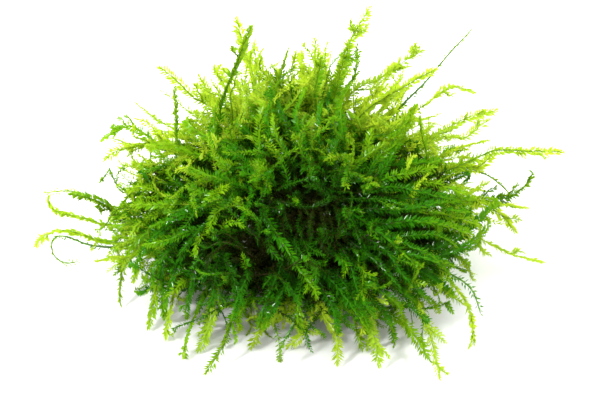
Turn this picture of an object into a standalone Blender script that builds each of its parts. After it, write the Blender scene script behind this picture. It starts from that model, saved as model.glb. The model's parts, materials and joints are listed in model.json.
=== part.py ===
"""A loose clump of creeping water moss, lying on a flat surface.

Hundreds of short shoots pack into one tangled mat around the clump's old heart. Longer shoots stand
clear of the mat on every side: some rise against the light, some reach out sideways, and the lower
ones droop until they lie on the surface. Each of those is a piece of its own. Sizes are in
millimetres and become metres where a mesh is made. X runs along the clump, -Y is its front, and the
origin is on the flat underside of the mat.
"""

import math

import bmesh
import bpy
import numpy as np
from mathutils import Vector
from mathutils.bvhtree import BVHTree

MM = 0.001

# The mat: a rounded heap about the heart, squared off a little, with a flat underside at z = 0.
HEART = (0.0, 0.0, 12.0)
MAT_HALF_LENGTH = 34.5
MAT_HALF_DEPTH = 26.0
MAT_RISE = 26.0
MAT_DROP = 18.0
MAT_SQUARENESS = 2.2
MAT_SEGMENTS = 44
MAT_RINGS = 26
RIPPLE = 0.6
# Lobes of the mat: compass angle and climb in degrees, height in millimetres, sharpness.
LOBES = (
    (0, 22, 3.5, 9),
    (28, 40, 1.5, 12),
    (78, 12, 4.0, 8),
    (188, 4, 2.0, 9),
    (228, 2, 2.0, 12),
    (262, 10, 3.0, 10),
    (302, 0, 5.0, 12),
    (330, 30, 2.5, 9),
    (250, 62, 3.0, 10),
)

# A shoot narrows from its foot to its tip. A piece cut by its neighbour keeps this gap to it.
LEAFY = (0.95, 0.40)
SLENDER = (0.65, 0.32)
RUNNER = (0.42, 0.28)
GAP = 0.3
RING_SPACING = 2.8
FOOT_INSIDE = 2.0
CLEAR_OF_FLOOR = 0.12

GREEN = (0.085, 0.190, 0.012)
PALE = (0.330, 0.450, 0.060)
BROWN = (0.160, 0.130, 0.030)
MAT_GREEN = (0.045, 0.115, 0.008)

# Each shoot that stands clear of the mat: its name, its thickness, its colour, and the points that
# it passes on its way out from the heart. The last point is its tip.
SHOOTS = (
    ("crown_tallest", LEAFY, PALE, (7, 4, 41), (9, 3, 49), (13, 2, 58)),
    ("crown_slender", SLENDER, PALE, (3, 10, 40), (3, 12, 46)),
    ("crown_blunt", SLENDER, GREEN, (3, -2, 43), (4, -6, 52)),
    ("crown_back_tip", LEAFY, PALE, (1, 20, 29), (0, 26, 34)),
    ("crown_broad", LEAFY, GREEN, (7, -2, 44), (9, -5, 55)),
    ("crown_short_dark", SLENDER, BROWN, (11, 9, 40), (11, 10, 46)),
    ("crown_knotted", SLENDER, GREEN, (-4, 6, 39), (-2, 8, 45)),
    ("upper_left_tall", LEAFY, GREEN, (-15, -4, 37), (-12, -5, 49), (-9, -8, 60)),
    ("upper_left_fork", LEAFY, PALE, (-13, 11, 31), (-17, 16, 37)),
    ("upper_left_curved", LEAFY, PALE, (-6, 16, 30), (-10, 22, 36)),
    ("upper_left_stub", LEAFY, PALE, (-16, 12, 28), (-20, 17, 34)),
    ("upper_left_fan", LEAFY, PALE, (-17, 6, 30), (-22, 8, 36), (-27, 10, 40)),
    ("left_upright", SLENDER, GREEN, (-22, -6, 30), (-23, -8, 40), (-23, -10, 48)),
    ("left_arch_upper", RUNNER, PALE, (-31, 11, 20), (-39, 14, 21)),
    ("left_feather", LEAFY, PALE, (-30, 4, 24), (-34, 2, 27), (-38, 0, 25)),
    ("left_thin_reach", RUNNER, PALE, (-40, 6, 10), (-45, 5, 14), (-51, 4, 14)),
    ("left_thick", LEAFY, GREEN, (-35, 0, 12), (-40, -2, 17), (-45, -3, 19)),
    ("left_hooked", LEAFY, PALE, (-37, -5, 13), (-44, -6, 16), (-48, -7, 18), (-48, -8, 22)),
    ("left_longest", LEAFY, PALE, (-37, -4, 8), (-46, -4, 11), (-50, -4, 10), (-52, -4, 7)),
    ("left_floor_curl", RUNNER, BROWN, (-39, -3, 6), (-48, 1, 6), (-50, 2, 2), (-47, -2, 1), (-44, -1, 1)),
    ("left_drop", SLENDER, GREEN, (-32, -9, 10), (-35, -12, 6), (-35, -15, 1)),
    ("front_left_tuft", LEAFY, GREEN, (-25, -15, 9), (-28, -19, 5), (-29, -22, 1)),
    ("front_left_hanging", LEAFY, PALE, (-22, -19, 9), (-25, -23, 5), (-26, -25, 1)),
    ("front_left_dark", SLENDER, GREEN, (-19, -24, 8), (-21, -28, 5), (-22, -31, 1)),
    ("front_left_pair", LEAFY, PALE, (-16, -25, 8), (-18, -28, 4), (-19, -29, 1)),
    ("front_left_sweep", LEAFY, GREEN, (-12, -25, 10), (-13, -30, 6), (-18, -36, 1)),
    ("front_left_short", LEAFY, PALE, (-5, -24, 8), (-8, -27, 4), (-9, -28, 1)),
    ("front_mid_hook", SLENDER, PALE, (1, -25, 6), (0, -28, 3), (-3, -28, 1)),
    ("front_mid_hanging", LEAFY, PALE, (5, -26, 9), (7, -30, 5), (7, -33, 1)),
    ("front_right_pair", LEAFY, GREEN, (9, -25, 8), (11, -28, 4), (12, -29, 1)),
    ("front_right_hanging", LEAFY, PALE, (12, -26, 10), (14, -31, 5), (15, -34, 1)),
    ("front_right_lean", LEAFY, GREEN, (17, -23, 8), (21, -28, 5), (24, -31, 1)),
    ("front_right_longest", LEAFY, PALE, (21, -24, 11), (24, -31, 8), (26, -37, 1)),
    ("right_low_hook", LEAFY, PALE, (28, -21, 12), (32, -25, 8), (33, -27, 1)),
    ("right_low_loop", RUNNER, BROWN, (28, -23, 15), (32, -26, 14), (34, -28, 9)),
    ("right_long_low", LEAFY, PALE, (34, -2, 8), (42, -3, 4), (48, -4, 3)),
    ("right_bent_tip", LEAFY, PALE, (36, 5, 11), (40, 4, 9), (43, 3, 5)),
    ("right_pointed", SLENDER, PALE, (37, 8, 9), (46, 10, 6)),
    ("right_raised", LEAFY, GREEN, (36, 3, 13), (42, 3, 14), (46, 2, 20)),
    ("right_runner_low", RUNNER, BROWN, (35, 13, 13), (40, 15, 9), (43, 16, 5)),
    ("right_blade", LEAFY, PALE, (33, 9, 15), (37, 10, 17), (39, 10, 21)),
    ("right_long_high", LEAFY, PALE, (30, 0, 26), (40, -3, 29), (50, -6, 31)),
    ("right_arch", SLENDER, PALE, (27, 6, 27), (33, 6, 31), (38, 5, 33)),
    ("right_arch_under", LEAFY, PALE, (29, 12, 19), (38, 17, 23)),
    ("upper_right_upright", SLENDER, GREEN, (22, -8, 29), (23, -10, 36), (22, -11, 42)),
    ("upper_right_dark", LEAFY, GREEN, (15, -8, 35), (19, -12, 41), (21, -16, 48)),
    ("upper_right_wire", RUNNER, BROWN, (20, 11, 28), (26, 14, 36), (34, 18, 44)),
    ("upper_right_plume", LEAFY, PALE, (13, 9, 35), (19, 12, 39), (24, 14, 41)),
    ("upper_right_plume_low", LEAFY, PALE, (15, 1, 37), (20, 2, 41), (26, 3, 44)),
    ("back_right_arch", LEAFY, PALE, (24, 22, 22), (30, 27, 24), (36, 31, 20)),
    ("back_right_low", SLENDER, GREEN, (27, 22, 8), (33, 28, 4), (37, 32, 1)),
    ("back_right_tuft", LEAFY, PALE, (15, 26, 22), (19, 34, 24), (21, 40, 21)),
    ("back_hanging", LEAFY, GREEN, (7, 30, 13), (9, 37, 8), (9, 41, 1)),
    ("back_runner", RUNNER, BROWN, (-2, 30, 17), (-4, 37, 17), (-9, 42, 11)),
    ("back_plume", LEAFY, PALE, (-8, 25, 24), (-11, 32, 29), (-13, 36, 35)),
    ("back_left_sweep", LEAFY, PALE, (-18, 25, 13), (-24, 32, 10), (-31, 37, 3)),
    ("back_left_low", SLENDER, GREEN, (-11, 28, 7), (-14, 35, 3), (-16, 40, 1)),
    ("back_left_arch", LEAFY, GREEN, (-28, 19, 15), (-35, 24, 17), (-41, 27, 11)),
)


def metres(point):
    return Vector(point) * MM


def mat_reach(way):
    """How far the mat reaches from the heart in a direction: a squared heap with a flat base."""
    halves = (MAT_HALF_LENGTH, MAT_HALF_DEPTH, MAT_RISE if way.z > 0 else MAT_DROP)
    heap = sum((abs(part) / half) ** MAT_SQUARENESS for part, half in zip(way, halves))
    reach = heap ** (-1 / MAT_SQUARENESS)
    for compass, climb, height, sharpness in LOBES:
        across = math.cos(math.radians(climb))
        lobe = Vector(
            (
                across * math.cos(math.radians(compass)),
                across * math.sin(math.radians(compass)),
                math.sin(math.radians(climb)),
            )
        )
        reach += height * math.exp(sharpness * (way.dot(lobe) - 1))
    reach += RIPPLE * math.sin(9 * way.x + 2) * math.sin(8 * way.y + 1) * math.sin(10 * way.z)
    if way.z < 0:
        reach = min(reach, HEART[2] / -way.z)
    return reach


def mat_mesh(name, swell=0.0):
    """The mat as a closed mesh, swollen evenly away from the heart by a few tenths if asked."""
    shape = bmesh.new()
    bmesh.ops.create_uvsphere(shape, u_segments=MAT_SEGMENTS, v_segments=MAT_RINGS, radius=1)
    for vert in shape.verts:
        way = vert.co.normalized()
        vert.co = metres(HEART) + way * (mat_reach(way) + swell) * MM
    mesh = bpy.data.meshes.new(name)
    shape.to_mesh(mesh)
    shape.free()
    mesh.shade_smooth()
    return mesh


def route(points):
    """A smooth centreline from the heart through the given points, in even short steps.

    Each span between two points is a Catmull-Rom cubic, timed by the square root of its length so
    that it never loops.
    """
    stops = [Vector(HEART)] + [Vector(point) for point in points]
    stops = [2 * stops[0] - stops[1]] + stops + [2 * stops[-1] - stops[-2]]
    line = []
    for before, start, end, after in zip(stops, stops[1:], stops[2:], stops[3:]):
        t1 = math.sqrt((start - before).length)
        t2 = t1 + math.sqrt((end - start).length)
        t3 = t2 + math.sqrt((after - end).length)
        for t in np.linspace(t1, t2, 24, endpoint=False):
            first = before.lerp(start, t / t1)
            second = start.lerp(end, (t - t1) / (t2 - t1))
            third = end.lerp(after, (t - t2) / (t3 - t2))
            early = first.lerp(second, t / t2)
            late = second.lerp(third, (t - t1) / (t3 - t1))
            line.append(early.lerp(late, (t - t1) / (t2 - t1)))
    line.append(stops[-2])
    return even_steps(line, 0.5)


def even_steps(line, spacing):
    """The same line, with its points spread evenly about the given distance apart."""
    line = np.array([tuple(point) for point in line])
    along = np.concatenate([[0], np.cumsum(np.linalg.norm(np.diff(line, axis=0), axis=1))])
    places = np.linspace(0, along[-1], max(2, round(along[-1] / spacing)) + 1)
    return [Vector([np.interp(at, along, line[:, axis]) for axis in range(3)]) for at in places]


def outside_the_mat(line):
    """The stretch of a centreline from just inside the mat, where it last leaves it, to the tip."""
    heart = Vector(HEART)
    foot = 0
    for index, point in enumerate(line):
        out = point - heart
        if out.length > 0 and out.length < mat_reach(out.normalized()):
            foot = index
    return line[max(0, foot - round(FOOT_INSIDE / 0.5)):]


def shoot_mesh(name, thickness, points):
    """A tapering six-sided stem along its route, kept just clear of the floor, with closed ends."""
    line = even_steps(outside_the_mat(route(points)), RING_SPACING)
    curve = bpy.data.curves.new(name, "CURVE")
    curve.dimensions = "3D"
    curve.bevel_depth = MM
    curve.bevel_resolution = 1
    curve.use_fill_caps = True
    spline = curve.splines.new("POLY")
    spline.points.add(len(line) - 1)
    foot, tip = thickness
    for index, (target, point) in enumerate(zip(spline.points, line)):
        radius = foot + (tip - foot) * index / (len(line) - 1)
        point.z = max(point.z, radius + CLEAR_OF_FLOOR)
        target.co = (*metres(point), 1)
        target.radius = radius
    guide = bpy.data.objects.new(name + "_guide", curve)
    bpy.context.scene.collection.objects.link(guide)
    graph = bpy.context.evaluated_depsgraph_get()
    mesh = bpy.data.meshes.new_from_object(guide.evaluated_get(graph))
    shape = bmesh.new()
    shape.from_mesh(mesh)
    bmesh.ops.remove_doubles(shape, verts=shape.verts, dist=0.00001)
    bmesh.ops.recalc_face_normals(shape, faces=shape.faces)
    shape.to_mesh(mesh)
    shape.free()
    bpy.data.objects.remove(guide)
    mesh.name = name
    mesh.shade_smooth()
    return mesh


def moss_material(name, colour, roughness):
    material = bpy.data.materials.new(name)
    material.use_nodes = True
    shader = material.node_tree.nodes["Principled BSDF"]
    shader.inputs["Base Color"].default_value = (*colour, 1)
    shader.inputs["Roughness"].default_value = roughness
    shader.inputs["Metallic"].default_value = 0
    return material


def add(collection, name, mesh, material=None):
    piece = bpy.data.objects.new(name, mesh)
    if material:
        mesh.materials.append(material)
    collection.objects.link(piece)
    return piece


for leftover in list(bpy.data.objects):
    bpy.data.objects.remove(leftover)

clump = bpy.data.collections.new("moss_clump")
cutters = bpy.data.collections.new("cutters")
bpy.context.scene.collection.children.link(clump)
bpy.context.scene.collection.children.link(cutters)

mat_finish = moss_material("packed_moss", MAT_GREEN, 0.6)
finishes = {
    GREEN: moss_material("green_shoots", GREEN, 0.45),
    PALE: moss_material("young_shoots", PALE, 0.4),
    BROWN: moss_material("old_stems", BROWN, 0.55),
}

add(clump, "tangled_mat", mat_mesh("tangled_mat"), mat_finish)
cutter = add(cutters, "mat_room", mat_mesh("mat_room", GAP))
cutter.hide_render = True
cutter.display_type = "WIRE"

for name, thickness, colour, *points in SHOOTS:
    piece = add(clump, name, shoot_mesh(name, thickness, points), finishes[colour])
    cut = piece.modifiers.new("room_for_mat", "BOOLEAN")
    cut.operation = "DIFFERENCE"
    cut.solver = "EXACT"
    cut.object = cutter
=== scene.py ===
"""The looks of a loose clump of creeping water moss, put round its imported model."""
import json
from typing import NamedTuple

import bpy
import numpy as np
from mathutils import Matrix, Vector


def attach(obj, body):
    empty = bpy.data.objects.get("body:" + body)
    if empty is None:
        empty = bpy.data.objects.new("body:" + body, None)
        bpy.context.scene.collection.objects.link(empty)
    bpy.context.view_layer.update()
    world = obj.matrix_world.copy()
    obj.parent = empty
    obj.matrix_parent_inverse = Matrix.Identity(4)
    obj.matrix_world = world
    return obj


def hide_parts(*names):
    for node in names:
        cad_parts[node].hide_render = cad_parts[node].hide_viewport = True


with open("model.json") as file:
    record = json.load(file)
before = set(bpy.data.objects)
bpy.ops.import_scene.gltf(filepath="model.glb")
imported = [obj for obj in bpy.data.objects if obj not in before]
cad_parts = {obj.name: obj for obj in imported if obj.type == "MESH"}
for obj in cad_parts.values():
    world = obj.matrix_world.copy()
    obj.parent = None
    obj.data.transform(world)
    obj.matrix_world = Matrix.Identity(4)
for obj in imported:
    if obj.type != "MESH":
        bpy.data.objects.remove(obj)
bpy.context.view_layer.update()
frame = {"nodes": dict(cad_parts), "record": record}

draw = np.random.default_rng(7)
MM = 0.001


# ---------------------------------------------------------------------------------------------------
# The moss finish. Leaves one cell thick, wet, and clear enough to glow when light comes through them.
# New growth at a tip is yellow-green, a season's growth is full green, and old parts go dark and brown.
# Every leaf and stem reads its colour from the map: across it is the shoot's tone, up it is its age,
# with painted shade and painted light for where it lies worked into that age.
# The tones from STEM_TONE up are for stems.
TONES = 16
STEM_TONE = 14
YOUNG = (0.385, 0.500, 0.034)
FRESH = (0.142, 0.325, 0.002)
GREEN = (0.026, 0.160, 0.001)
DARK = (0.004, 0.044, 0.0005)
DEAD = (0.016, 0.018, 0.002)
YOUNG_STEM = (0.200, 0.320, 0.010)
GREEN_STEM = (0.060, 0.190, 0.004)
OLD_STEM = (0.040, 0.040, 0.006)
DEAD_STEM = (0.018, 0.012, 0.004)
LIGHT_THROUGH = (0.680, 0.880, 0.040)


class Socket:
    """A value in a finish. It can be worked out with + - * and >, and passed on to other nodes."""

    def __init__(self, output):
        self.output = output

    def node(self, kind, settings=None, inputs=None, out=0):
        """Adds a node: its settings by name, its inputs by name or number. Gives one of its outputs."""
        made = self.output.id_data.nodes.new(kind)
        for name, value in (settings or {}).items():
            setattr(made, name, value)
        for name, value in (inputs or {}).items():
            if isinstance(value, Socket):
                self.output.id_data.links.new(value.output, made.inputs[name])
            else:
                made.inputs[name].default_value = value
        return Socket(made.outputs[out])

    def maths(self, operation, one, two=0.0):
        return self.node("ShaderNodeMath", {"operation": operation}, {0: one, 1: two})

    def ramp(self, stops):
        """A colour from this value, 0 to 1, through the given places and colours."""
        made = self.node("ShaderNodeValToRGB", inputs={0: self})
        elements = made.output.node.color_ramp.elements
        for number, (place, colour) in enumerate(stops):
            inside = 0 < number < len(stops) - 1
            stop = elements.new(place) if inside else elements[-1 if number else 0]
            stop.position = place
            stop.color = (*colour, 1)
        return made

    def __add__(self, other):
        return self.maths("ADD", self, other)

    def __radd__(self, other):
        return self.maths("ADD", other, self)

    def __sub__(self, other):
        return self.maths("SUBTRACT", self, other)

    def __rsub__(self, other):
        return self.maths("SUBTRACT", other, self)

    def __mul__(self, other):
        return self.maths("MULTIPLY", self, other)

    def __rmul__(self, other):
        return self.maths("MULTIPLY", other, self)

    def __gt__(self, other):
        return self.maths("GREATER_THAN", self, other)


def moss_finish(name):
    """Wet moss: colour by age, shifted by the shoot's tone, with a paler rib and light from behind."""
    finish = bpy.data.materials.new(name)
    finish.use_nodes = True
    tree = finish.node_tree
    shader = tree.nodes["Principled BSDF"]
    surface = Socket(shader.outputs[0])
    where = surface.node("ShaderNodeUVMap", {"uv_map": "OFBake"})
    tone_place = where.node("ShaderNodeSeparateXYZ", inputs={0: where}) * TONES
    age = where.node("ShaderNodeSeparateXYZ", inputs={0: where}, out=1)
    tone = where.maths("FLOOR", tone_place)
    across = tone_place - tone
    warmth = where.maths("FRACT", tone * 0.381966)
    from_rib = where.maths("ABSOLUTE", across - 0.5) * 2
    stem = tone > STEM_TONE - 0.5

    leaf = age.ramp(((0.0, YOUNG), (0.16, FRESH), (0.42, GREEN), (0.74, DARK), (0.96, DEAD)))
    stalk = age.ramp(((0.0, YOUNG_STEM), (0.35, GREEN_STEM), (0.7, OLD_STEM), (1.0, DEAD_STEM)))
    mixing = {"data_type": "RGBA"}
    shading = {"data_type": "RGBA", "blend_type": "MULTIPLY"}
    either = where.node("ShaderNodeMix", mixing, {0: stem, 6: leaf, 7: stalk}, out=2)
    cool_to_warm = {0: warmth, 6: (0.74, 0.92, 1.2, 1), 7: (1.12, 1.05, 0.75, 1)}
    warm = where.node("ShaderNodeMix", mixing, cool_to_warm, out=2)
    toned = where.node("ShaderNodeMix", shading, {0: 0.8, 6: either, 7: warm}, out=2)
    rib_to_edge = {0: from_rib, 6: (1.25, 1.2, 1.3, 1), 7: (0.85, 0.88, 0.85, 1)}
    ribbed = where.node("ShaderNodeMix", mixing, rib_to_edge, out=2)
    colour = where.node("ShaderNodeMix", shading, {0: 0.7, 6: toned, 7: ribbed}, out=2)
    tree.links.new(colour.output, shader.inputs["Base Color"])
    rough = 0.13 + warmth * 0.07 + age * 0.08 + stem * 0.2
    tree.links.new(rough.output, shader.inputs["Roughness"])
    shader.inputs["IOR"].default_value = 1.38

    glow = where.node("ShaderNodeBsdfTranslucent", inputs={"Color": (*LIGHT_THROUGH, 1)})
    clear = where.maths("MAXIMUM", 0.50 - age * 1.1, 0.03) * (1 - stem * 0.7)
    both = where.node("ShaderNodeMixShader", inputs={0: clear, 1: surface, 2: glow})
    tree.links.new(both.output, tree.nodes["Material Output"].inputs["Surface"])
    return finish


wet_moss = moss_finish("wet_moss")


# ---------------------------------------------------------------------------------------------------
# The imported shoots: the mat of the clump. They all start in its old heart, rise to the surface near
# the whorl at the front and lie combed outwards over each other like thatch, down to the floor.
# Each carries short side branches, and leaves in two rows that overlap like barbs.
HEART = np.array([0.0, 0.0, 12.0]) * MM
WHORL = np.array([0.03, -0.84, 0.54])
LOWEST_WAY = -0.27
RINGS = 18
TWIG_RINGS = 8
STEM_ACROSS = (0.1, 0.5, 0.9)
STEM_SIDES = len(STEM_ACROSS)
FLOOR_GAP = 0.25 * MM
LEAF_GAP = 0.04 * MM


class Growth(NamedTuple):
    """Shoots of one kind: their centrelines (shoot, ring, xyz), then for each shoot its stem's radius,
    its leaves' length, the share of it that is bare, its tone, its age at the tip, the age it gains
    with each metre from there, and the tilt of its face."""

    lines: np.ndarray
    girth: np.ndarray
    leaf: np.ndarray
    bare: np.ndarray
    tone: np.ndarray
    age: np.ndarray
    ripen: np.ndarray
    lie: np.ndarray


def unit(vectors):
    return vectors / np.maximum(np.linalg.norm(vectors, axis=-1, keepdims=True), 1e-12)


def corners_of(node):
    """A node's separate corners, and which of them each corner of its mesh is."""
    mesh = frame["nodes"][node].data
    spots = np.empty(len(mesh.vertices) * 3, np.float32)
    mesh.vertices.foreach_get("co", spots)
    spots, joined = np.unique(np.round(spots.reshape(-1, 3), 6), axis=0, return_inverse=True)
    return spots, joined.reshape(-1)


def soft_step(values):
    """0 below 0, 1 above 1, and 3v^2 - 2v^3 between them."""
    held = np.clip(values, 0, 1)
    return held * held * (3 - 2 * held)


MAT_CORNERS = corners_of("tangled_mat")[0] - HEART
CORNER_WAYS = unit(MAT_CORNERS)
CORNER_REACH = np.linalg.norm(MAT_CORNERS, axis=1)
NEAREST_COUNTS = 160
THIN_WAYS = unit(np.array([[-0.64, 0.62, 0.45], [0.70, 0.55, 0.45], [0.84, 0.48, 0.26]]))
THIN_DEPTH = 0.43
LOBE_WAY = unit(np.array([[-0.93, 0.30, 0.18]]))
LEFT_FROM = -0.25


def thinned(ways, middles=THIN_WAYS):
    """1 round the given middles, where the mat opens into loose young shoots, and 0 well away."""
    return soft_step(((ways @ middles.T).max(1) - 0.70) / 0.20)


def mat_reach(ways):
    """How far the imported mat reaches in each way: a mean of the model's own corners, the nearest in
    angle counting most, and a share less where it is thinned."""
    weights = np.exp(NEAREST_COUNTS * (ways @ CORNER_WAYS.T - 1))
    return (weights @ CORNER_REACH) / weights.sum(1) * (1 - THIN_DEPTH * thinned(ways))


def spread_ways(count, lowest, jitter):
    """Ways spread evenly over a ball above a given climb, by the golden angle, then jittered."""
    order = np.arange(count) + 0.5
    climb = 1 - (1 - lowest) * order / count
    turn = order * np.pi * (3 - np.sqrt(5))
    flat = np.sqrt(1 - climb**2)
    ways = np.stack([flat * np.cos(turn), flat * np.sin(turn), climb], 1)
    return unit(ways + draw.normal(0, jitter, ways.shape))


def turned(ways, targets, angles):
    """Each way, turned towards its target way by its own angle in radians."""
    aside = unit(targets - ways * (ways * targets).sum(1, keepdims=True))
    return ways * np.cos(angles)[:, None] + aside * np.sin(angles)[:, None]


def wavering(lines, size):
    """Lines with a slow waver added: two sine waves in space, growing from nothing at the foot."""
    count, rings, _ = lines.shape
    along = np.linspace(0, 1, rings)[None, :, None]
    phase = draw.uniform(0, 2 * np.pi, (2, count, 1, 3))
    slow = np.sin(along * 5 + phase[0]) - np.sin(phase[0])
    quick = np.sin(along * 11 + phase[1]) - np.sin(phase[1])
    return lines + (slow + 0.5 * quick) * soft_step(along * 1.5) * size


def above_floor(lines):
    """Lines kept off the floor: a height below the gap is raised to it."""
    kept = lines.copy()
    kept[..., 2] = np.maximum(kept[..., 2], FLOOR_GAP)
    return kept


def draped_lines(ways, whorls, depth, proud):
    """Centrelines from the heart to the mat's surface: a quadratic curve that leaves the heart nearer
    the whorl than its tip, bends at the surface half way round, and lies over to the tip."""
    swing = np.arccos(np.clip((ways * whorls).sum(1), -1, 1))
    lean = np.minimum(0.62 * swing, 0.95) * np.where(swing > 1.6, 0.62, 1)
    lean *= draw.uniform(0.6, 1.1, len(ways))
    start_way = turned(ways, whorls, lean)
    bend_way = turned(ways, whorls, lean * 0.5)
    start = HEART + start_way * (0.30 * mat_reach(start_way))[:, None]
    bend = HEART + bend_way * (mat_reach(bend_way) * (1.06 - 0.24 * depth))[:, None]
    tip = HEART + ways * (mat_reach(ways) - 5 * MM * depth + proud)[:, None]
    tip[:, 2] -= draw.uniform(0, 4, len(ways)) * MM * soft_step(ways[:, 2] * 4) * (1 - ways[:, 2])
    t = np.linspace(0, 1, RINGS)[None, :, None]
    lines = start[:, None] * (1 - t) ** 2 + bend[:, None] * 2 * t * (1 - t) + tip[:, None] * t**2
    return above_floor(wavering(lines, 1.4 * MM))


def lengths(lines):
    """The length of each line."""
    return np.linalg.norm(np.diff(lines, axis=1), axis=2).sum(1)


SHADED = np.array([-4.0, -24.0, 18.0]) * MM
SHADED_SIZE = np.array([24.0, 12.0, 9.0]) * MM
HOLLOW = np.array([2.0, -21.0, 25.0]) * MM
HOLLOW_SIZE = 8.5 * MM


def age_with_painted_shade_and_light(lines):
    """How much older the moss is coloured at each ring. It is darker under the skin and over the front
    of the mat, which is painted shade, and most in the brown hollow at the middle of it, which is old
    growth. It is lighter on the crown and low round the rim, which is painted light."""
    away = (lines - HEART).reshape(-1, 3)
    # Deeper under the skin is coloured older and darker: painted shade.
    under = mat_reach(unit(away)) - np.linalg.norm(away, axis=1)
    under = soft_step((under.reshape(lines.shape[:2]) - 1.5 * MM) / (6.5 * MM))
    # The front of the mat is coloured darker: painted shade.
    shaded = np.exp(-(((lines - SHADED) / SHADED_SIZE) ** 2).sum(2))
    brown = np.exp(-(((lines - HOLLOW) / HOLLOW_SIZE) ** 2).sum(2))
    # The crown, and low down round the rim, are coloured younger and lighter: painted light.
    high = soft_step((lines[..., 2] - 26 * MM) / (9 * MM))
    crown = high * soft_step((lines[..., 1] + 20 * MM) / (12 * MM))
    rim = soft_step((9 * MM - lines[..., 2]) / (7 * MM)) * (1 - 0.6 * under)
    return 0.40 * under + 0.42 * shaded + 0.32 * brown - 0.14 * crown - 0.07 * rim


def spots_on(lines, which, t):
    """The points at fractions t of the given lines, and the way each line runs there."""
    runs = unit(np.gradient(lines, axis=1))
    place = np.clip(t, 0, 1) * (lines.shape[1] - 1)
    low = np.minimum(place.astype(int), lines.shape[1] - 2)
    part = (place - low)[:, None]
    spots = lines[which, low] * (1 - part) + lines[which, low + 1] * part
    return spots, unit(runs[which, low] * (1 - part) + runs[which, low + 1] * part)


def face_of(spots, runs, lie):
    """Each shoot lies flat: the way its face looks, outwards from the heart with the shoot's own tilt,
    square to its run, and the way its side points."""
    out = unit(spots - HEART) + lie
    face = unit(out - runs * (out * runs).sum(1, keepdims=True))
    return face, np.cross(face, runs)


def side_branches(growth, per_mm, size, open_angle):
    """Short branches on both sides, shorter towards the tip, leaving at an angle and curving back
    along the shoot: spot + length * (s * way + bend * s^2). Also says which shoot each is on."""
    leafy = lengths(growth.lines) * (1 - growth.bare)
    many = draw.poisson(leafy / MM * per_mm)
    which = np.repeat(np.arange(len(many)), many)
    t = growth.bare[which] + (0.94 - growth.bare[which]) * draw.uniform(0, 1, len(which))
    spots, runs = spots_on(growth.lines, which, t)
    face, side = face_of(spots, runs, growth.lie[which])
    hand = np.where(draw.uniform(0, 1, len(which)) < 0.5, -1, 1)[:, None]
    angle = (open_angle * draw.uniform(0.7, 1.25, len(which)))[:, None]
    lift = draw.normal(0.12, 0.22, (len(which), 1))
    way = unit(runs * np.cos(angle) + side * hand * np.sin(angle) + face * lift)
    long = size * draw.uniform(0.45, 1.2, len(which)) * (0.35 + 0.9 * np.sqrt(1 - t))
    s = np.linspace(0, 1, TWIG_RINGS)[None, :, None]
    lines = spots[:, None] + long[:, None, None] * (s * way[:, None] + 0.28 * s**2 * (runs - way)[:, None])
    lines = above_floor(wavering(lines, 0.22 * MM))
    branches = Growth(
        lines=lines,
        girth=growth.girth[which] * 0.7,
        leaf=growth.leaf[which] * draw.uniform(0.72, 0.98, len(which)),
        bare=np.full(len(which), 0.04),
        tone=np.where(
            draw.uniform(0, 1, len(which)) < 0.7,
            growth.tone[which],
            draw.integers(0, STEM_TONE, len(which)),
        ),
        age=growth.age[which] + 0.10 * draw.uniform(0, 1, len(which)),
        ripen=growth.ripen[which] * 1.2,
        lie=growth.lie[which] + draw.normal(0, 0.2, (len(which), 3)),
    )
    return branches, which


BARB_ANGLE = 56
SCALE_ANGLE = 24
BUD_ANGLE = 12
BARB_TWIST = 0.9
BUD_LENGTH = 1.8 * MM


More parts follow.
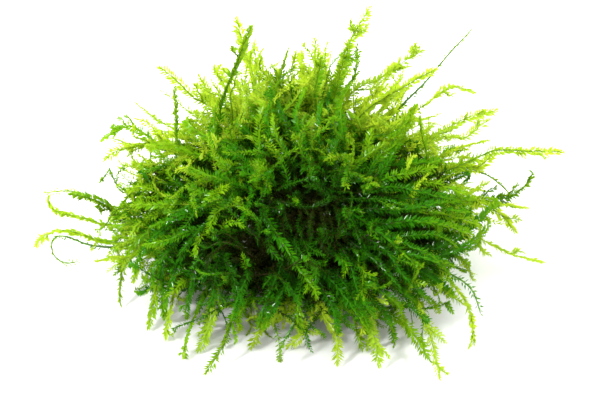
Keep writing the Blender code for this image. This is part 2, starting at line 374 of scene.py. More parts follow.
def leaves_on(growth, per_mm, shade=1.0):
    """Leaves on every shoot, by turns a barb and a scale. Barbs stand out in two rows; scales lie
    closer, along the outer side of the stem. A leaf is a blade folded along its rib, with four corners:
    base, tip, and both edges at two fifths of its length. The last ones close over the bud."""
    long = lengths(growth.lines)
    many = np.maximum(4, (long * (1 - growth.bare) / MM * per_mm).astype(int))
    which = np.repeat(np.arange(len(many)), many)
    order = np.arange(len(which)) - np.repeat(np.cumsum(many) - many, many)
    bare = growth.bare[which]
    t = bare + (1 - bare) * (order + draw.uniform(0, 0.7, len(which))) / many[which]
    spots, runs = spots_on(growth.lines, which, t)
    face, side = face_of(spots, runs, growth.lie[which])
    from_tip = (1 - t) * long[which]
    opened = soft_step(from_tip / BUD_LENGTH)
    scale = order % 2 == 1
    row = (order // 2 % 2) * np.pi + draw.normal(0, 0.20, len(which))
    row = np.where(scale, np.pi / 2 + draw.normal(0, 0.9, len(which)), row)[:, None]
    away = side * np.cos(row) + face * np.sin(row)
    spread = np.where(scale, SCALE_ANGLE, BARB_ANGLE) * opened + BUD_ANGLE * (1 - opened)
    angle = np.radians(spread + draw.normal(0, 6, len(which)))[:, None]
    way = unit(runs * np.cos(angle) + away * np.sin(angle))
    round_stem = np.cross(runs, away)
    twist = np.where(scale, 0, BARB_TWIST)[:, None] + draw.normal(0, 0.25, (len(which), 1))
    width_way = unit(round_stem * np.cos(twist) + np.cross(way, round_stem) * np.sin(twist))
    top = np.cross(way, width_way)
    size = growth.leaf[which] * (0.6 + 0.4 * opened) * draw.uniform(0.8, 1.15, len(which))
    size = (size * np.where(scale, 0.8, 1.0) * (0.6 + 0.4 * soft_step((t - bare) * 6)))[:, None]
    half = size * np.where(scale, 0.22, 0.19)[:, None]
    base = spots + away * (growth.girth[which] * 0.6)[:, None]
    edge = base + way * size * 0.4 + top * half * 0.4
    tip = base + way * size + runs * size * draw.normal(0.04, 0.08, (len(which), 1))
    corners = np.stack([base, edge - width_way * half, tip, edge + width_way * half], 1)
    corners[..., 2] = np.maximum(corners[..., 2], LEAF_GAP)
    faces = np.array([[0, 1, 2], [0, 2, 3]])
    ring = np.clip(t * growth.lines.shape[1], 0, growth.lines.shape[1] - 1).astype(int)
    # The age takes in the painted shade and painted light of the place, weighted by shade.
    age = growth.age[which] + growth.ripen[which] * from_tip + shade * age_with_painted_shade_and_light(growth.lines)[which, ring]
    age = np.clip(age + draw.normal(0, 0.03, len(which)) - 0.05 * scale, 0.01, 0.95)
    age = age[:, None] + np.array([0.035, 0.02, 0.0, 0.02])
    tone = growth.tone[which][:, None] + 0.5 + 0.42 * np.array([0, -1, 0.1, 1])
    return corners, faces, np.stack([tone / TONES, age], -1)


def stems_on(growth, shade=1.0):
    """Stems: a narrow three-sided tube along each centreline, thinning to its tip, with closed ends."""
    lines = growth.lines
    count, rings, _ = lines.shape
    runs = unit(np.gradient(lines, axis=1)).reshape(-1, 3)
    face, side = face_of(lines.reshape(-1, 3), runs, np.repeat(growth.lie, rings, 0))
    thin = np.linspace(1, 0.35, rings)
    thin[-1] = 0.05
    radius = (growth.girth[:, None] * thin[None]).reshape(-1, 1, 1)
    turn = (np.arange(STEM_SIDES) * 2 * np.pi / STEM_SIDES)[None, :, None]
    tube = lines.reshape(-1, 1, 3) + radius * (face[:, None] * np.cos(turn) + side[:, None] * np.sin(turn))
    tube[..., 2] = np.maximum(tube[..., 2], LEAF_GAP)
    corners = tube.reshape(count, rings * STEM_SIDES, 3)
    ring = np.arange(rings - 1)[:, None] * STEM_SIDES
    after = ring + STEM_SIDES
    one = np.arange(STEM_SIDES)[None]
    two = (one + 1) % STEM_SIDES
    quads = np.stack([ring + one, ring + two, after + two, after + one], -1).reshape(-1, 4)
    faces = np.concatenate([quads[:, [0, 1, 2]], quads[:, [0, 2, 3]]])
    last = (rings - 1) * STEM_SIDES
    faces = np.concatenate([faces, [[last, last + 1, last + 2]], [[2, 1, 0]]])
    from_tip = lengths(lines)[:, None] * (1 - np.linspace(0, 1, rings))[None]
    # The age takes in the painted shade and painted light of the place, weighted by shade.
    age = growth.age[:, None] + growth.ripen[:, None] * from_tip * 1.3 + shade * age_with_painted_shade_and_light(lines)
    age = np.repeat(np.clip(age, 0.01, 0.97), STEM_SIDES, 1)
    round_stem = np.tile(STEM_ACROSS, rings)[None]
    tone = STEM_TONE + (growth.tone[:, None] % 2) + round_stem
    return corners, faces, np.stack([tone / TONES, age + 0.02 * np.sin(round_stem * 9)], -1)


def moss_piece(name, parts, nodes):
    """One mesh of all the given corners and faces, mapped, smooth, wet, and riding on the clump."""
    spots, corners, maps, first = [], [], [], 0
    for blocks, faces, places in parts:
        spots.append(blocks.reshape(-1, 3))
        starts = first + np.arange(len(blocks)) * blocks.shape[1]
        corners.append((starts[:, None, None] + faces[None]).reshape(-1, 3))
        maps.append(places[:, faces].reshape(-1, 2))
        first += blocks.shape[0] * blocks.shape[1]
    spots = np.concatenate(spots)
    corners = np.concatenate(corners)
    mesh = bpy.data.meshes.new(name)
    mesh.vertices.add(len(spots))
    mesh.vertices.foreach_set("co", spots.astype(np.float32).ravel())
    mesh.loops.add(len(corners) * 3)
    mesh.loops.foreach_set("vertex_index", corners.astype(np.int32).ravel())
    mesh.polygons.add(len(corners))
    mesh.polygons.foreach_set("loop_start", np.arange(0, len(corners) * 3, 3, dtype=np.int32))
    mesh.update(calc_edges=True)
    mesh.shade_smooth()
    layer = mesh.uv_layers.new(name="OFBake")
    layer.data.foreach_set("uv", np.concatenate(maps).astype(np.float32).ravel())
    mesh.materials.append(wet_moss)
    piece = bpy.data.objects.new(name, mesh)
    bpy.context.scene.collection.objects.link(piece)
    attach(piece, "root")
    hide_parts(*nodes)


def grown(growth, per_mm, shade=1.0):
    """The leaves and stems of all the shoots of one growth, as parts for one mesh."""
    return [leaves_on(growth, per_mm, shade), stems_on(growth, shade)]


def tangle_lines(ways, long):
    """Centrelines that wander under the mat's skin: each sets off from a spot a little under it, less
    so on the left, in its own way along the surface, and rises through it to the tip."""
    heading = unit(np.cross(ways, unit(draw.normal(0, 1, ways.shape))))
    out = draw.uniform(0.66, 0.86, len(ways)) + 0.10 * (ways[:, 0] < LEFT_FROM)
    foot = HEART + ways * (mat_reach(ways) * out)[:, None]
    s = np.linspace(0, 1, RINGS)[None, :, None]
    rise = draw.uniform(0.10, 0.75, (len(ways), 1, 1))
    along = long[:, None, None] * s
    lines = foot[:, None] + along * (heading[:, None] * (1 - 0.2 * s) + ways[:, None] * rise)
    return above_floor(wavering(lines, 1.2 * MM))


def airy_lines(ways, long):
    """Centrelines of young shoots that leave the mat: each starts below its skin, heads outwards and
    to one side, and bends over with its own weight."""
    aside = unit(np.cross(ways, unit(draw.normal(0, 1, ways.shape))))
    foot = HEART + ways * (mat_reach(ways) * draw.uniform(0.55, 0.82, len(ways)))[:, None]
    heading = unit(ways + aside * draw.uniform(0.1, 0.9, (len(ways), 1)))
    s = np.linspace(0, 1, RINGS)[None, :, None]
    bend = draw.uniform(-0.1, 0.45, (len(ways), 1, 1)) * np.array([0, 0, -1.0])
    bend = bend + draw.normal(0, 0.14, (len(ways), 1, 3))
    lines = foot[:, None] + long[:, None, None] * (s * heading[:, None] + s**2 * bend)
    return above_floor(wavering(lines, 0.7 * MM))


def ridge_lines(ways, whorls):
    """Centrelines of long shoots that lie over all the others: each leaves the skin beside the whorl,
    follows the skin round to its own way, and lifts off it at the tip."""
    swing = np.arccos(np.clip((ways * whorls).sum(1), -1, 1))
    left = np.minimum(draw.uniform(0.5, 1.2, len(ways)), swing * draw.uniform(0.5, 0.8, len(ways)))
    s = np.linspace(0, 1, RINGS)
    paths = np.stack([turned(ways, whorls, left * (1 - part)) for part in s], 1)
    reach = mat_reach(paths.reshape(-1, 3)).reshape(len(ways), RINGS)
    height = draw.uniform(-1.6, 0.6, (len(ways), 1))
    tip_lift = draw.uniform(0, 3.0, (len(ways), 1))
    lift = height + tip_lift * s**3 - 4.0 * (1 - s) ** 4
    lines = HEART + paths * (reach + lift * MM)[..., None]
    return above_floor(wavering(lines, 1.2 * MM))


def two_ages(parts):
    """Ages from even numbers 0 to 1: three fifths are young, and the others are a season older."""
    return np.interp(parts, (0, 0.60, 0.64, 1), (0, 0.16, 0.30, 0.42))


LOCKS = 215
PER_LOCK = 6
lock_ways = spread_ways(LOCKS, LOWEST_WAY, 0.06)
lock = np.repeat(np.arange(LOCKS), PER_LOCK)
packed_ways = unit(lock_ways[lock] + draw.normal(0, 0.075, (len(lock), 3)))
dense = draw.uniform(0, 1, len(lock)) > 0.80 * thinned(packed_ways)
lock = lock[dense]
packed_ways = packed_ways[dense]
count = len(packed_ways)
strays = 0.30 + 0.12 * (lock_ways[:, :1] < LEFT_FROM)
whorls = unit(WHORL + draw.normal(0, 1, (LOCKS, 3)) * strays)[lock]
depth = draw.uniform(0, 1, count) ** 1.2
proud = draw.uniform(-9.0, 2.5, LOCKS)[lock] + draw.uniform(-2.0, 2.0, count)
proud -= 2.0 * (packed_ways[:, 2] > 0.5)
packed = Growth(
    lines=draped_lines(packed_ways, whorls, depth, proud * MM),
    girth=draw.uniform(0.12, 0.18, count) * MM,
    leaf=(draw.uniform(0.60, 1.08, LOCKS)[lock] + draw.uniform(-0.1, 0.1, count)) * MM,
    bare=np.full(count, 0.36),
    tone=draw.integers(0, STEM_TONE, LOCKS)[lock].astype(float),
    age=(two_ages(draw.uniform(0, 1, LOCKS)) * (1 - 0.7 * thinned(lock_ways, LOBE_WAY)))[lock]
    + draw.uniform(-0.05, 0.10, count),
    ripen=draw.uniform(0.013, 0.024, count) / MM,
    lie=draw.normal(0, 0.32, (count, 3)),
)
twigs, twig_parent = side_branches(packed, 0.07, 6.0 * MM, np.radians(32))

TANGLED = 290
tangle_ways = spread_ways(TANGLED, -0.2, 0.25)
near_whorl = soft_step((tangle_ways @ WHORL - 0.55) / 0.35)
tangle = Growth(
    lines=tangle_lines(tangle_ways, draw.uniform(9, 19, TANGLED) * MM),
    girth=draw.uniform(0.12, 0.18, TANGLED) * MM,
    leaf=draw.uniform(0.70, 1.10, TANGLED) * MM,
    bare=np.full(TANGLED, 0.02),
    tone=draw.integers(0, STEM_TONE, TANGLED).astype(float),
    age=0.12 + 0.20 * near_whorl + draw.uniform(-0.10, 0.18, TANGLED),
    ripen=draw.uniform(0.008, 0.018, TANGLED) / MM,
    lie=draw.normal(0, 0.4, (TANGLED, 3)),
)

# Airy shoots stand thinly all over, and thickly where the mat is thinned and on the left lobe. None
# grows out near the whorl, or low down anywhere but at the back.
AIRY_TRIED = 900
airy_ways = spread_ways(AIRY_TRIED, -0.30, 0.12)
lobe = thinned(airy_ways, LOBE_WAY)
kept = draw.uniform(0, 1, AIRY_TRIED) < 0.18 + 0.58 * np.maximum(thinned(airy_ways), lobe)
kept &= (airy_ways @ WHORL < 0.62) & ((airy_ways[:, 2] > -0.10) | (airy_ways[:, 1] > 0.2))
airy_ways = airy_ways[kept]
count = len(airy_ways)
airy = Growth(
    lines=airy_lines(airy_ways, (draw.uniform(8, 15, count) + 8 * thinned(airy_ways)) * MM),
    girth=draw.uniform(0.10, 0.16, count) * MM,
    leaf=draw.uniform(0.95, 1.40, count) * MM,
    bare=np.full(count, 0.05),
    tone=draw.integers(0, STEM_TONE, count).astype(float),
    age=draw.uniform(0.0, 0.10, count),
    ripen=draw.uniform(0.008, 0.016, count) / MM,
    lie=draw.normal(0, 0.4, (count, 3)),
)
airy_twigs, airy_parent = side_branches(airy, 0.08, 4.5 * MM, np.radians(46))

RIDGES_TRIED = 90
ridge_ways = spread_ways(RIDGES_TRIED, -0.30, 0.14)
ridge_ways = ridge_ways[(ridge_ways @ WHORL < 0.45) & (ridge_ways[:, 2] > 0.02)]
count = len(ridge_ways)
ridges = Growth(
    lines=ridge_lines(ridge_ways, unit(WHORL + draw.normal(0, 0.35, (count, 3)))),
    girth=draw.uniform(0.14, 0.22, count) * MM,
    leaf=draw.uniform(1.00, 1.50, count) * MM,
    bare=np.full(count, 0.06),
    tone=draw.integers(0, STEM_TONE, count).astype(float),
    age=draw.uniform(0.02, 0.24, count),
    ripen=draw.uniform(0.012, 0.020, count) / MM,
    lie=draw.normal(0, 0.2, (count, 3)),
)


def sector_of(ways):
    """Which eighth of the compass a way points into, or 8 for the crown."""
    eighth = np.floor((np.arctan2(ways[:, 1], ways[:, 0]) + np.pi) / (2 * np.pi) * 8).astype(int) % 8
    return np.where(ways[:, 2] > 0.80, 8, eighth)


SECTORS = (
    "packed_shoots_left_front",
    "packed_shoots_front_left",
    "packed_shoots_front_right",
    "packed_shoots_right_front",
    "packed_shoots_right_back",
    "packed_shoots_back_right",
    "packed_shoots_back_left",
    "packed_shoots_left_back",
    "packed_shoots_crown",
)
packed_in = sector_of(packed_ways)
airy_in = sector_of(airy_ways)
growths = (
    (packed, packed_in, 8.4),
    (twigs, packed_in[twig_parent], 8.4),
    (tangle, sector_of(tangle_ways), 8.0),
    (airy, airy_in, 7.6),
    (airy_twigs, airy_in[airy_parent], 7.6),
    (ridges, sector_of(ridge_ways), 8.0),
)
for number, name in enumerate(SECTORS):
    parts = []
    for growth, sectors, per_mm in growths:
        chosen = Growth(*(values[sectors == number] for values in growth))
        parts += grown(chosen, per_mm)
    moss_piece(name, parts, ["tangled_mat"])


# ---------------------------------------------------------------------------------------------------
# The laid shoots: the long ones that lie on top of the mat where it is seen best, each listed one by one.
# Bright and green ones run from the heart outwards; thin olive ones hang over the dark hollow.
# A kind gives the age, then the length of the leaves and the stem's radius in millimetres.
LAID_RINGS = 24
LEAVES_PER_MM = 8.0
LAID_KINDS = {
    "ridge": (0.03, 1.40, 0.22),
    "lime": (0.10, 1.10, 0.16),
    "bright": (0.17, 1.25, 0.19),
    "green": (0.26, 1.10, 0.17),
    "fine": (0.28, 0.85, 0.12),
    "dark": (0.40, 0.95, 0.15),
    "olive": (0.46, 0.75, 0.10),
}
LAID = {
    "laid_shoots_front": (
        ("ridge", (-6, -16.5, 26), (-7, -20.5, 28.5), (-5, -23.5, 26.5), (-3.5, -26, 25.5),
         (-1.5, -28.5, 22.5), (0, -29.5, 19.5), (2, -30.5, 17.5), (3, -31, 15)),
        ("dark", (-2.5, -19, 23), (-3.5, -23, 25), (-6, -25, 25.5), (-6.5, -27, 24.5), (-5, -28.5, 23),
         (-3.5, -29, 22.5)),
        ("green", (-2.5, -20.5, 20.5), (-3, -25.5, 22), (-3.5, -27.5, 19.5), (-4.5, -29.5, 17.5),
         (-5.5, -30, 14.5), (-7, -29.5, 10.5), (-8, -27.5, 5)),
        ("bright", (-1, -21.5, 18), (-1.5, -26.5, 19), (-2.5, -28, 17.5), (-3.5, -29.5, 15.5),
         (-5, -30, 13.5), (-6.5, -29.5, 10), (-7, -27, 4)),
        ("lime", (0.5, -22, 17), (0.5, -26.5, 17.5), (0, -28.5, 14.5), (0, -30, 12), (0, -29.5, 8),
         (0, -28, 4.5)),
        ("lime", (5, -20.5, 19.5), (5.5, -25.5, 21), (3.5, -28.5, 20.5), (2, -30, 19), (1, -31, 17.5)),
        ("ridge", (2.5, -21.5, 18.5), (3.5, -26, 19.5), (5, -28, 18), (7.5, -30, 15.5),
         (9.5, -30.5, 13), (12, -30, 8), (14, -27, 1)),
        ("green", (4.5, -21.5, 18), (6, -26.5, 19), (8, -29, 17), (10, -30.5, 14.5), (12, -30.5, 11),
         (13.5, -30, 7.5)),
        ("green", (1.5, -22, 17.5), (2, -26.5, 18), (4, -29, 16), (5.5, -30.5, 14), (6.5, -30.5, 10),
         (7, -28.5, 5)),
        ("green", (3, -22, 14.5), (3.5, -27.5, 14.5), (5, -29.5, 13), (6.5, -30.5, 10.5),
         (7, -29.5, 7)),
        ("bright", (5.5, -20.5, 20.5), (6.5, -25, 22), (8, -28, 21.5), (9, -29, 20), (8, -30.5, 19.5)),
        ("lime", (8, -21, 19), (9.5, -25.5, 20.5), (11, -28, 20.5), (12, -29.5, 19.5),
         (13.5, -29.5, 20)),
        ("lime", (10.5, -21, 18.5), (12, -26, 20), (11.5, -28.5, 19), (11.5, -30, 16.5), (12, -31, 15)),
        ("green", (6, -20, 21.5), (7.5, -24.5, 23), (8.5, -26.5, 22), (10, -28.5, 20), (11, -30, 17),
         (12.5, -31, 14), (14, -30.5, 10.5)),
        ("green", (0, -19.5, 22), (0, -24, 24), (1, -27, 23), (2, -29, 21.5), (3.5, -30.5, 20)),
        ("fine", (-2, -19, 22.5), (-2, -23.5, 24.5), (-0.5, -26.5, 24), (1, -28.5, 23),
         (3.5, -29, 22.5)),
        ("fine", (7.5, -20, 20.5), (9.5, -24.5, 22.5), (10.5, -27.5, 23.5), (10.5, -28.5, 22.5)),
    ),
    "laid_shoots_left": (
        ("bright", (-11, -15.5, 25.5), (-14, -19, 28), (-15.5, -21, 28), (-16.5, -23.5, 26.5),
         (-17.5, -24, 25.5)),
        ("bright", (-13.5, -14, 24.5), (-16, -17.5, 28), (-15, -19, 31.5), (-13.5, -19.5, 33)),
        ("lime", (-14, -16.5, 21.5), (-17.5, -20, 23.5), (-20.5, -21, 23.5), (-23, -22, 22.5),
         (-26, -21, 20.5), (-29, -19.5, 19)),
        ("lime", (-16.5, -13.5, 23.5), (-20.5, -16, 25.5), (-23, -16.5, 26.5), (-26, -16, 26.5),
         (-29, -14.5, 25.5), (-31.5, -13.5, 24)),
        ("lime", (-13, -18, 20), (-16, -22, 22), (-18, -22.5, 24), (-19, -24, 23), (-19, -25.5, 21)),
        ("bright", (-10, -18.5, 21.5), (-12.5, -22.5, 24), (-14.5, -23, 26), (-12.5, -24, 28),
         (-10.5, -25.5, 27.5)),
        ("fine", (-13.5, -17, 22), (-15.5, -21.5, 23.5), (-14.5, -24.5, 22), (-13, -27, 20.5),
         (-12, -28.5, 17.5), (-11.5, -29.5, 15), (-11, -29.5, 12.5)),
        ("lime", (-7.5, -21, 16.5), (-9.5, -25.5, 18.5), (-10, -27.5, 22), (-10.5, -27.5, 23.5)),
        ("green", (-7.5, -20.5, 18.5), (-9, -25.5, 19.5), (-9.5, -27.5, 18), (-10.5, -29, 16),
         (-11.5, -29, 12.5), (-13, -28.5, 8.5)),
        ("green", (-12, -19, 19.5), (-14.5, -23.5, 20.5), (-15.5, -25, 19), (-16, -27, 16.5),
         (-16.5, -27.5, 13), (-17.5, -26.5, 8.5), (-18, -22.5, 1.5)),
        ("green", (-14, -17.5, 21), (-17, -21.5, 22), (-18, -23.5, 20), (-19.5, -25.5, 17),
         (-20, -26, 13.5), (-21, -24.5, 8.5), (-21.5, -21.5, 2)),
        ("bright", (-16, -16.5, 20.5), (-19.5, -20.5, 22), (-21.5, -22, 20), (-23, -23.5, 17),
         (-24, -24, 13.5), (-25.5, -21.5, 7.5), (-26, -20, 2)),
        ("bright", (-18, -15.5, 20.5), (-22, -18.5, 21.5), (-24.5, -20, 19.5), (-26.5, -21.5, 16.5),
         (-27, -21.5, 12.5), (-26.5, -20.5, 7), (-26.5, -20, 2)),
        ("green", (-18.5, -14, 21.5), (-23, -17, 23), (-26, -18, 22), (-28.5, -18.5, 19.5),
         (-30.5, -18.5, 16), (-31, -18.5, 12)),
        ("lime", (-21.5, -12.5, 19.5), (-26.5, -15, 20.5), (-29.5, -15.5, 19), (-31.5, -16, 17),
         (-33, -15.5, 13), (-34.5, -12, 7)),
        ("green", (-13, -15.5, 24), (-16.5, -18.5, 26), (-19.5, -19.5, 26), (-22.5, -20, 25.5),
         (-25.5, -19, 24), (-28, -18.5, 22.5)),
        ("dark", (-10.5, -16.5, 24.5), (-13.5, -20, 26.5), (-16.5, -21, 26), (-19, -22.5, 25),
         (-21, -23, 23), (-23, -24, 20.5)),
        ("lime", (-20.5, -12, 21.5), (-25.5, -14.5, 23), (-28.5, -15.5, 23), (-30.5, -15.5, 21.5),
         (-32, -16, 18.5)),
        ("lime", (-8, -21, 11), (-10, -25.5, 10.5), (-11.5, -27.5, 9.5), (-12.5, -27, 6.5),
         (-12, -24, 1)),
        ("green", (-11, -20.5, 13), (-13.5, -25, 12.5), (-14.5, -26, 11), (-16, -26.5, 8),
         (-17.5, -22.5, 1.5), (-18.5, -25, 0.5)),
    ),
    "laid_shoots_right": (
        ("bright", (6.5, -16.5, 25.5), (8.5, -20.5, 28), (11, -22.5, 27.5), (14, -24.5, 26),
         (17, -26, 24), (20, -26.5, 21.5), (23, -27, 19.5)),
        ("green", (6, -18, 24), (8, -22, 26.5), (10.5, -24, 25), (13.5, -25.5, 24),
         (16.5, -26.5, 22.5), (19.5, -27, 20.5), (22.5, -27, 17.5), (26, -25, 13), (29.5, -18.5, 5)),
        ("lime", (13.5, -20, 19.5), (17, -24.5, 20.5), (20.5, -25.5, 18.5), (24, -26, 15.5),
         (27, -22.5, 10.5), (30.5, -18.5, 5), (32.5, -20, 4.5)),
        ("lime", (12, -21, 18.5), (15, -25.5, 19.5), (18, -27, 18.5), (21, -28, 16.5), (24, -26, 11.5),
         (27, -20.5, 3.5)),
        ("fine", (9, -20, 20.5), (11.5, -24.5, 22.5), (15, -26, 23), (17.5, -27, 22),
         (20.5, -27.5, 21)),
        ("green", (8, -17, 25), (10.5, -21, 27.5), (14, -23, 26), (17.5, -24.5, 24.5),
         (21.5, -25, 22.5), (25.5, -24.5, 20), (28.5, -23, 17)),
        ("fine", (5.5, -16, 26), (7.5, -19, 29.5), (11.5, -20, 30), (16, -20.5, 30.5), (20, -20.5, 29),
         (23.5, -20.5, 27.5), (27, -20, 26.5)),
        ("green", (8.5, -15, 27), (11.5, -17.5, 30), (16, -17.5, 31), (20.5, -18.5, 31),
         (24.5, -18, 29.5), (28.5, -17, 27.5), (32.5, -15, 26)),
        ("bright", (11, -13, 27.5), (14, -16, 31), (18, -16.5, 32.5), (22, -16, 33), (25.5, -14.5, 33)),
        ("green", (9.5, -16.5, 25.5), (12, -20, 28), (16.5, -20.5, 28), (20, -21, 28.5),
         (24, -19.5, 28), (28.5, -17.5, 27.5), (32.5, -15.5, 25.5)),
        ("bright", (10, -18, 23.5), (12.5, -21.5, 26), (16.5, -22.5, 26), (20.5, -22, 26.5),
         (24.5, -21.5, 25.5), (28.5, -20, 23.5), (33, -17.5, 20)),
        ("green", (11, -18.5, 22.5), (14.5, -22.5, 24.5), (18.5, -23.5, 23.5), (22.5, -23, 23.5),
         (26.5, -22, 22.5), (29, -21, 19.5), (32, -19, 15.5)),
        ("bright", (18, -12, 27), (22.5, -14.5, 30), (25.5, -15.5, 30), (28.5, -16, 29),
         (31, -15.5, 28)),
        ("green", (10.5, -19.5, 21.5), (13.5, -23.5, 23.5), (17, -25.5, 22), (21, -26, 21.5),
         (25, -25, 19), (28, -23.5, 15)),
        ("lime", (19.5, -14.5, 22.5), (24.5, -17.5, 25), (27.5, -18, 25.5), (31, -17, 23.5),
         (34, -16, 20.5)),
        ("green", (12.5, -14.5, 26), (16, -18, 29), (20, -18.5, 29.5), (24, -19, 29),
         (28, -18.5, 26.5), (31.5, -17, 25)),
        ("dark", (7.5, -18.5, 23.5), (9.5, -22.5, 25.5), (12.5, -25, 24.5), (16, -26.5, 23),
         (18.5, -28, 20.5), (20.5, -28.5, 17.5)),
        ("dark", (7, -19.5, 22), (9, -24, 24), (11.5, -26, 23), (14.5, -28, 21.5), (17, -29, 19),
         (19, -29.5, 16)),
        ("lime", (10.5, -22, 15.5), (13.5, -27, 15.5), (15.5, -28.5, 14), (18, -29, 11.5),
         (19.5, -26.5, 6), (21, -25.5, 2)),
        ("green", (10, -22.5, 14), (12.5, -27.5, 14), (14.5, -29, 12), (16.5, -29, 8.5),
         (18, -25.5, 2), (18, -27.5, 1)),
        ("lime", (13, -21.5, 16.5), (16, -26.5, 17), (18.5, -27.5, 14.5), (21.5, -27.5, 11.5),
         (23.5, -22, 3), (25, -25, 1.5)),
    ),
    "laid_shoots_crown": (
        ("lime", (8, -11.5, 29.5), (9.5, -14, 33.5), (8, -15, 35.5), (6.5, -16, 37), (4.5, -17, 37)),
        ("bright", (6, -12.5, 28.5), (7.5, -15, 32.5), (9, -16.5, 35.5), (8, -16, 37)),
        ("dark", (0.5, -11, 31.5), (0, -13, 36), (-2, -11, 38.5), (-3, -8, 40.5), (-4.5, -2.5, 40.5),
         (-5.5, 3, 40)),
        ("green", (1, -12.5, 30.5), (1, -14, 35), (0.5, -12, 38), (-0.5, -9, 40), (0, -3.5, 40.5),
         (1, 2, 40.5)),
        ("green", (2.5, -12, 30.5), (3.5, -13.5, 35), (3.5, -11, 37.5), (3.5, -8, 40), (3.5, -1.5, 40),
         (4, 5.5, 39.5)),
        ("green", (5.5, -10.5, 31), (6.5, -11.5, 35.5), (6, -8.5, 37.5), (5.5, -4, 39.5),
         (6.5, 2, 39.5), (8.5, 10, 38), (10, 17.5, 36.5)),
        ("green", (7, -10.5, 30.5), (8.5, -11.5, 35), (8, -9, 37.5), (7.5, -5.5, 39.5), (8, 0.5, 39.5),
         (9.5, 6.5, 39)),
        ("dark", (-5, -10.5, 31.5), (-6, -12, 36), (-6, -11, 39), (-6.5, -8, 40.5), (-5.5, -3, 41)),
        ("green", (-1.5, -12.5, 30.5), (-2, -14.5, 35), (-3.5, -14, 38), (-4.5, -12, 39.5),
         (-5, -8.5, 41)),
        ("green", (-12, -10, 29), (-14.5, -12, 33), (-15.5, -10, 35.5), (-16, -7, 37.5),
         (-16.5, -2, 37.5), (-15.5, 2, 38)),
        ("dark", (-15, -8, 28), (-17.5, -10, 32), (-17, -11.5, 36), (-16.5, -8.5, 38)),
        ("green", (11.5, -13.5, 27.5), (14.5, -16, 31), (16.5, -14.5, 33.5), (18.5, -11.5, 36),
         (20, -7.5, 37), (21.5, -3.5, 38)),
        ("green", (10, -13, 28), (12.5, -15.5, 32), (14, -14, 35), (16.5, -12, 36.5),
         (18.5, -9.5, 37.5)),
        ("green", (9, -10.5, 29.5), (11, -13, 34), (12.5, -12.5, 37), (13, -9.5, 38.5)),
        ("green", (8, -13, 28), (9.5, -15.5, 32), (11, -15, 35), (13.5, -14, 36.5), (16, -12.5, 37)),
        ("dark", (-7.5, -13, 29), (-9.5, -15.5, 33), (-10.5, -15, 36), (-13, -13.5, 37),
         (-15.5, -12, 37.5)),
        ("fine", (-4, -11, 31), (-5.5, -13.5, 35.5), (-8.5, -14.5, 37), (-11.5, -14.5, 37),
         (-14.5, -14.5, 37)),
        ("green", (-6, -14.5, 28), (-7, -17.5, 32), (-5.5, -18, 35), (-3.5, -17.5, 37),
         (-0.5, -16.5, 38.5)),
        ("bright", (-9, -15, 26.5), (-11.5, -18.5, 29.5), (-13.5, -18.5, 31), (-15.5, -20, 31),
         (-17.5, -21, 29.5)),
        ("green", (-7, -15, 27), (-9.5, -18, 30.5), (-12, -17.5, 32.5), (-15, -17, 33.5),
         (-18, -15.5, 33.5), (-20.5, -14.5, 33)),
        ("green", (-9, -16, 25.5), (-12, -19.5, 28.5), (-15, -19.5, 30), (-18, -18, 31),
         (-21, -16.5, 31)),
        ("lime", (-13, -12, 27), (-16, -14.5, 30.5), (-18.5, -15, 32), (-20.5, -14, 32.5),
         (-22.5, -13, 32.5)),
    ),
    "laid_shoots_heart": (
        ("olive", (-5, -16, 27), (-5.5, -19.5, 30), (-2.5, -21.5, 30.5), (0.5, -23, 31),
         (3.5, -22.5, 31.5), (5, -22, 32.5)),
        ("olive", (2, -16.5, 26), (2.5, -20.5, 29), (2, -24, 28), (2, -26, 26.5), (1.5, -27.5, 25.5)),
        ("olive", (3, -16.5, 26), (3.5, -20.5, 28.5), (4, -24, 28), (4.5, -26.5, 26.5), (3.5, -28, 25)),
        ("olive", (4.5, -16.5, 25.5), (5.5, -20.5, 28), (5.5, -24, 27.5), (5.5, -26.5, 26),
         (5, -28, 24.5)),
        ("olive", (5.5, -16, 25.5), (6.5, -20, 28.5), (7, -24.5, 28.5), (6.5, -26.5, 27)),
        ("olive", (0, -16.5, 26), (0, -21, 28.5), (-0.5, -24.5, 28.5), (-0.5, -26.5, 27.5)),
        ("olive", (-2.5, -16.5, 26), (-3, -20.5, 29), (-3, -24.5, 29), (-2, -26.5, 27.5)),
        ("olive", (8.5, -14.5, 27), (9.5, -17.5, 30.5), (7, -19.5, 32.5), (6.5, -19, 34),
         (7, -18.5, 35)),
        ("olive", (8.5, -16, 25.5), (9.5, -19.5, 29), (6.5, -20.5, 31), (3.5, -21, 33), (0.5, -22, 34)),
        ("olive", (-4, -15.5, 27.5), (-4.5, -19, 31.5), (-2, -20.5, 33.5), (0.5, -20.5, 34.5),
         (3, -19.5, 36)),
        ("olive", (-5.5, -15.5, 27), (-7, -19, 30), (-7.5, -22.5, 29.5), (-7, -24.5, 28.5),
         (-5, -26.5, 27.5)),
        ("olive", (6.5, -17, 25), (8.5, -21, 28), (10.5, -24, 27), (12, -26, 26), (11.5, -27, 25)),
        ("olive", (-1, -19.5, 21.5), (-1.5, -24, 23.5), (-2, -28, 23.5), (-2, -29.5, 22)),
        ("olive", (4, -15, 27), (5.5, -18, 31), (8.5, -18.5, 33), (11.5, -18, 34), (13.5, -19, 33.5)),
    ),
}


def even(line, rings):
    """The same line with evenly spaced rings, its corners cut twice to round them."""
    for _ in range(2):
        near = line[:-1] * 0.75 + line[1:] * 0.25
        far = line[:-1] * 0.25 + line[1:] * 0.75
        line = np.concatenate([line[:1], np.stack([near, far], 1).reshape(-1, 3)[1:-1], line[-1:]])
    along = np.concatenate([[0], np.cumsum(np.linalg.norm(np.diff(line, axis=0), axis=1))])
    places = np.linspace(0, along[-1], rings)
    return np.stack([np.interp(places, along, line[:, axis]) for axis in range(3)], 1)


